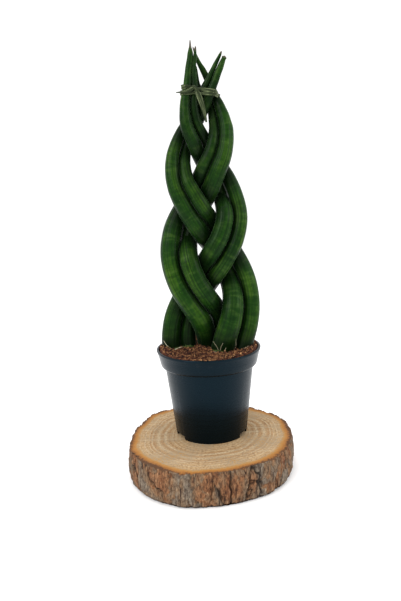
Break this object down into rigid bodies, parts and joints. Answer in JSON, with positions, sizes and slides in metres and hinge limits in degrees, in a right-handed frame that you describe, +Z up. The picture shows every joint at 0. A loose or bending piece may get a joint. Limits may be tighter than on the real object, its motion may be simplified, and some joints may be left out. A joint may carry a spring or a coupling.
{
  "type": "potted snake plant",
  "caption": "Plaited cylindrical snake plant, its round leaves tied near their tips, in a plastic nursery pot of soil that stands on a slice of tree trunk.",
  "frame": {"origin": "centre of the wood slice's flat underside, on the surface that the object stands on", "axes": "+Z up along the pot and the leaves, front of the flat braid towards -Y, +X to its right"},
  "size_m": [0.1898, 0.1946, 0.472],
  "materials": {
    "leaf_skin": "waxy dark green skin with lengthwise grooves and dried brown tips",
    "raffia": "dry greenish-tan fibre",
    "potting_soil": "loose red-brown peat and coir crumbs",
    "pot_plastic": "satin slate-blue moulded plastic, nearly black at the foot",
    "trunk_wood": "sawn end grain with rings, rough grey and red-brown bark round the side"
  },
  "bodies": {
    "root": {"first_strand_left_leaf": "leaf_skin", "first_strand_right_leaf": "leaf_skin", "second_strand_left_leaf": "leaf_skin", "second_strand_right_leaf": "leaf_skin", "third_strand_left_leaf": "leaf_skin", "third_strand_right_leaf": "leaf_skin", "raffia_tie": "raffia", "potting_soil": "potting_soil", "nursery_pot": "pot_plastic", "wood_slice": "trunk_wood"}
  },
  "joints": []
}
